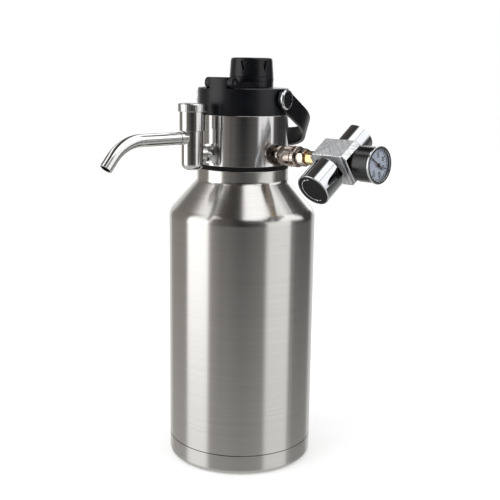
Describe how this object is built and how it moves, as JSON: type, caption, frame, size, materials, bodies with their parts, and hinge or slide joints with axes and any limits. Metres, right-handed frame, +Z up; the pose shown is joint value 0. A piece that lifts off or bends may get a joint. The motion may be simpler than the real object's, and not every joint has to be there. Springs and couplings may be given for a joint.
{
  "type": "mini keg beer dispenser",
  "caption": "Insulated steel mini keg with a lift-off collar carrying a beer tap, a gas regulator with gauge on a quick coupler, and a lid with a hinged drinking cap and carrying handle.",
  "frame": {"origin": "centre of the flat base, on the surface it stands on", "axes": "+Z up along the vessel's axis; the tap points along -Y and the gas line along +X"},
  "size_m": [0.2055, 0.2148, 0.342],
  "materials": {
    "brushed_steel": "vertical brushed stainless steel",
    "polished_steel": "polished stainless steel",
    "inner_steel": "electropolished stainless steel",
    "nickel": "nickel-plated brass",
    "chrome": "mirror chrome plate",
    "brass": "turned brass",
    "aluminium": "frosted, cross-brushed aluminium",
    "spring_steel": "bright spring wire",
    "lid_plastic": "satin black polypropylene",
    "seal_rubber": "black silicone rubber",
    "gauge_black": "semi-gloss black enamel",
    "face_black": "black printed disc",
    "dial_white": "white printed dial",
    "needle_black": "black pointer",
    "clear_lens": "clear lens",
    "dark_disc": "blackened ridged steel"
  },
  "bodies": {
    "vessel": {"base_cap": "brushed_steel", "outer_shell": "brushed_steel", "inner_vessel": "inner_steel", "vacuum_seal": "inner_steel"},
    "collar": {"neck_gasket": "seal_rubber", "collar_shell": "polished_steel", "collar_plug": "inner_steel", "collar_thread_ring": "inner_steel", "tap_shank": "polished_steel", "shank_nut": "inner_steel", "shank_washers": "polished_steel", "tap_body": "polished_steel", "tap_bonnet": "brass", "spout_socket": "polished_steel", "spout_tube": "polished_steel", "dip_elbow": "inner_steel", "dip_tube": "inner_steel", "gas_port": "nickel", "gas_disc": "dark_disc", "gas_nut": "nickel"},
    "tap_handle": {"tap_handle": "polished_steel", "tap_cap": "polished_steel"},
    "tap_stem": {"valve_stem": "inner_steel", "valve_washer": "seal_rubber"},
    "check_valve": {"check_ball": "spring_steel", "check_spring": "spring_steel"},
    "coupler": {"coupler_body": "nickel", "coupler_oring": "seal_rubber"},
    "coupler_sleeve": {"coupler_sleeve": "nickel", "sleeve_spring": "spring_steel"},
    "regulator": {"inlet_nipple": "brass", "regulator_block": "aluminium", "diaphragm": "seal_rubber", "regulator_bonnet": "chrome", "cartridge_barrel": "chrome", "piercing_pin": "spring_steel", "cartridge_seal": "seal_rubber", "gauge_stem": "brass", "gauge_case": "gauge_black", "gauge_bezel": "chrome", "gauge_lens": "clear_lens", "gauge_dial": "dial_white", "bourdon_tube": "brass"},
    "regulator_knob": {"regulator_knob": "chrome", "knob_face": "face_black", "adjusting_screw": "brass"},
    "spring_button": {"spring_button": "brass", "regulating_spring": "spring_steel"},
    "gauge_needle": {"gauge_needle": "needle_black"},
    "lid": {"lid_shell": "lid_plastic", "lid_liner": "lid_plastic", "lid_gasket": "seal_rubber", "tether_pin": "spring_steel", "pivot_rivets": "chrome", "rivet_inlays": "face_black"},
    "carry_handle": {"carry_handle": "lid_plastic"},
    "tether": {"tether": "lid_plastic"},
    "chug_cap": {"chug_cap": "lid_plastic", "cap_gasket": "seal_rubber"}
  },
  "joints": [
    {"name": "collar_lift", "type": "slide", "parent": "vessel", "child": "collar", "axis": [0, 0, 1], "range_m": [0, 0.27]},
    {"name": "tap_turn", "type": "hinge", "parent": "collar", "child": "tap_handle", "pos_m": [0, -0.0564, 0.29], "axis": [0, 0, 1], "range_deg": [0, 540]},
    {"name": "stem_lift", "type": "slide", "parent": "collar", "child": "tap_stem", "axis": [0, 0, 1], "range_m": [0, 0.0019]},
    {"name": "check_open", "type": "slide", "parent": "collar", "child": "check_valve", "axis": [-1, 0, 0], "range_m": [0, 0.0012], "stiffness_N_per_m": 60},
    {"name": "coupler_pull", "type": "slide", "parent": "collar", "child": "coupler", "axis": [1, 0, 0], "range_m": [0, 0.03]},
    {"name": "sleeve_pull", "type": "slide", "parent": "coupler", "child": "coupler_sleeve", "axis": [1, 0, 0], "range_m": [0, 0.0022], "stiffness_N_per_m": 400},
    {"name": "regulator_swivel", "type": "hinge", "parent": "coupler", "child": "regulator", "pos_m": [0.065, 0, 0.26505], "axis": [1, 0, 0], "continuous": true},
    {"name": "knob_turn", "type": "hinge", "parent": "regulator", "child": "regulator_knob", "pos_m": [0.1043, 0, 0.26505], "axis": [0, 0.8192, 0.5736], "range_deg": [0, 720]},
    {"name": "button_travel", "type": "slide", "parent": "regulator", "child": "spring_button", "axis": [0, 0.8192, 0.5736], "range_m": [0, 0.002]},
    {"name": "needle_swing", "type": "hinge", "parent": "regulator", "child": "gauge_needle", "pos_m": [0.1415, 0, 0.26505], "axis": [-1, 0, 0], "range_deg": [0, 270], "stiffness_Nm_per_rad": 0.0002},
    {"name": "lid_lift", "type": "slide", "parent": "collar", "child": "lid", "axis": [0, 0, 1], "range_m": [0, 0.06]},
    {"name": "handle_swing", "type": "hinge", "parent": "lid", "child": "carry_handle", "pos_m": [0, 0, 0.30905], "axis": [0.9781, 0.2079, 0], "range_deg": [-20, 160]},
    {"name": "tether_swing", "type": "hinge", "parent": "lid", "child": "tether", "pos_m": [0.00676, -0.03179, 0.32175], "axis": [0.9781, 0.2079, 0], "range_deg": [0, 150]},
    {"name": "cap_turn", "type": "hinge", "parent": "tether", "child": "chug_cap", "pos_m": [-0.00247, 0.01164, 0.31755], "axis": [0, 0, 1], "continuous": true}
  ],
  "couplings": [
    {"joint": "stem_lift", "follows": "tap_turn", "m_per_rad": 0.00019894},
    {"joint": "button_travel", "follows": "knob_turn", "m_per_rad": 0.00015915}
  ]
}
